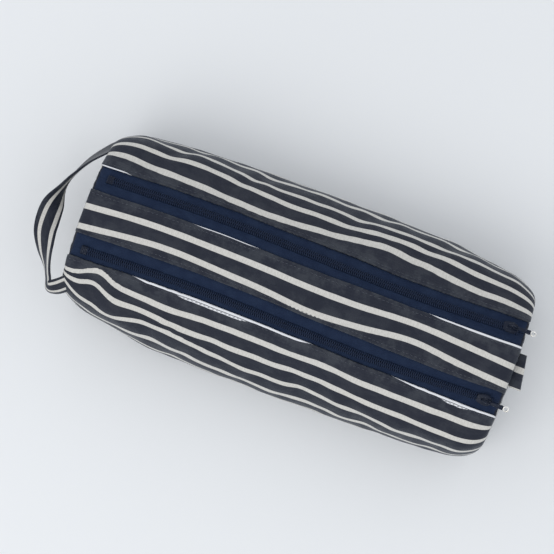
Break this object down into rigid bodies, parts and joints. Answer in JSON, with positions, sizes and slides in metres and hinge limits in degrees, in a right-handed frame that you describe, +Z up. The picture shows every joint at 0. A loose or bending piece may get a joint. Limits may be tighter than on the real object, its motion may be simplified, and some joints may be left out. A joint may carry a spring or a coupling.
{
  "type": "shoe bag",
  "caption": "Soft oblong travel bag for a pair of shoes: twin full-length zips with fold-out lips, centre divider, carry loop and pull tab.",
  "frame": {"origin": "middle of the flat base, on the surface the bag stands on", "axes": "+X along the bag to the end where the zips are closed (the carry loop is at -X), +Y to the back zip, +Z up through the top"},
  "size_m": [0.3927, 0.1624, 0.1112],
  "materials": {
    "striped_fabric": "coated plain weave, navy with cream stripes along the bag",
    "striped_webbing": "folded striped fabric, edge-stitched",
    "zip_tape": "woven navy tape",
    "zip_coil": "navy nylon coil",
    "slider_lacquer": "navy lacquer",
    "nickel": "polished nickel",
    "lining": "thin navy lining cloth"
  },
  "bodies": {
    "bag": {"body_wrap": "striped_fabric", "centre_strip": "striped_fabric", "end_panel_left": "striped_fabric", "end_panel_right": "striped_fabric", "divider_panel": "lining", "seam_binding_left": "lining", "seam_binding_right": "lining", "zip_tape_back": "zip_tape", "zip_tape_front": "zip_tape", "zip_coil_back": "zip_coil", "zip_coil_front": "zip_coil", "zip_stop_back": "slider_lacquer", "zip_stop_front": "slider_lacquer"},
    "loop": {"carry_loop": "striped_webbing"},
    "tab": {"pull_tab": "striped_webbing"},
    "back_lip": {"lip_fabric_back": "striped_fabric", "lip_tape_back": "zip_tape", "lip_coil_back": "zip_coil"},
    "back_slider": {"slider_back": "slider_lacquer"},
    "back_pull": {"pull_back": "nickel"},
    "front_lip": {"lip_fabric_front": "striped_fabric", "lip_tape_front": "zip_tape", "lip_coil_front": "zip_coil"},
    "front_slider": {"slider_front": "slider_lacquer"},
    "front_pull": {"pull_front": "nickel"}
  },
  "joints": [
    {"name": "back_slider_run", "type": "slide", "parent": "bag", "child": "back_slider", "axis": [-1, 0, 0], "range_m": [0, 0.312]},
    {"name": "back_lip_fold", "type": "hinge", "parent": "bag", "child": "back_lip", "pos_m": [0, 0.0599, 0.07887], "axis": [-1, 0, 0], "range_deg": [0, 104]},
    {"name": "back_pull_flip", "type": "hinge", "parent": "back_slider", "child": "back_pull", "pos_m": [0.162, 0.03014, 0.10903], "axis": [0, -0.9252, 0.3796], "range_deg": [0, 170]},
    {"name": "front_slider_run", "type": "slide", "parent": "bag", "child": "front_slider", "axis": [-1, 0, 0], "range_m": [0, 0.312]},
    {"name": "front_lip_fold", "type": "hinge", "parent": "bag", "child": "front_lip", "pos_m": [0, -0.0599, 0.07887], "axis": [1, 0, 0], "range_deg": [0, 104]},
    {"name": "front_pull_flip", "type": "hinge", "parent": "front_slider", "child": "front_pull", "pos_m": [0.162, -0.03014, 0.10903], "axis": [0, -0.9252, -0.3796], "range_deg": [0, 170]},
    {"name": "loop_swing", "type": "hinge", "parent": "bag", "child": "loop", "pos_m": [-0.1785, 0, 0.078], "axis": [0, 1, 0], "range_deg": [-45, 45]},
    {"name": "tab_bend", "type": "hinge", "parent": "bag", "child": "tab", "pos_m": [0.1765, 0, 0.0985], "axis": [0, 1, 0], "range_deg": [-80, 85]}
  ],
  "couplings": [
    {"joint": "back_lip_fold", "follows": "back_slider_run", "rad_per_m": 5.8},
    {"joint": "front_lip_fold", "follows": "front_slider_run", "rad_per_m": 5.8}
  ]
}
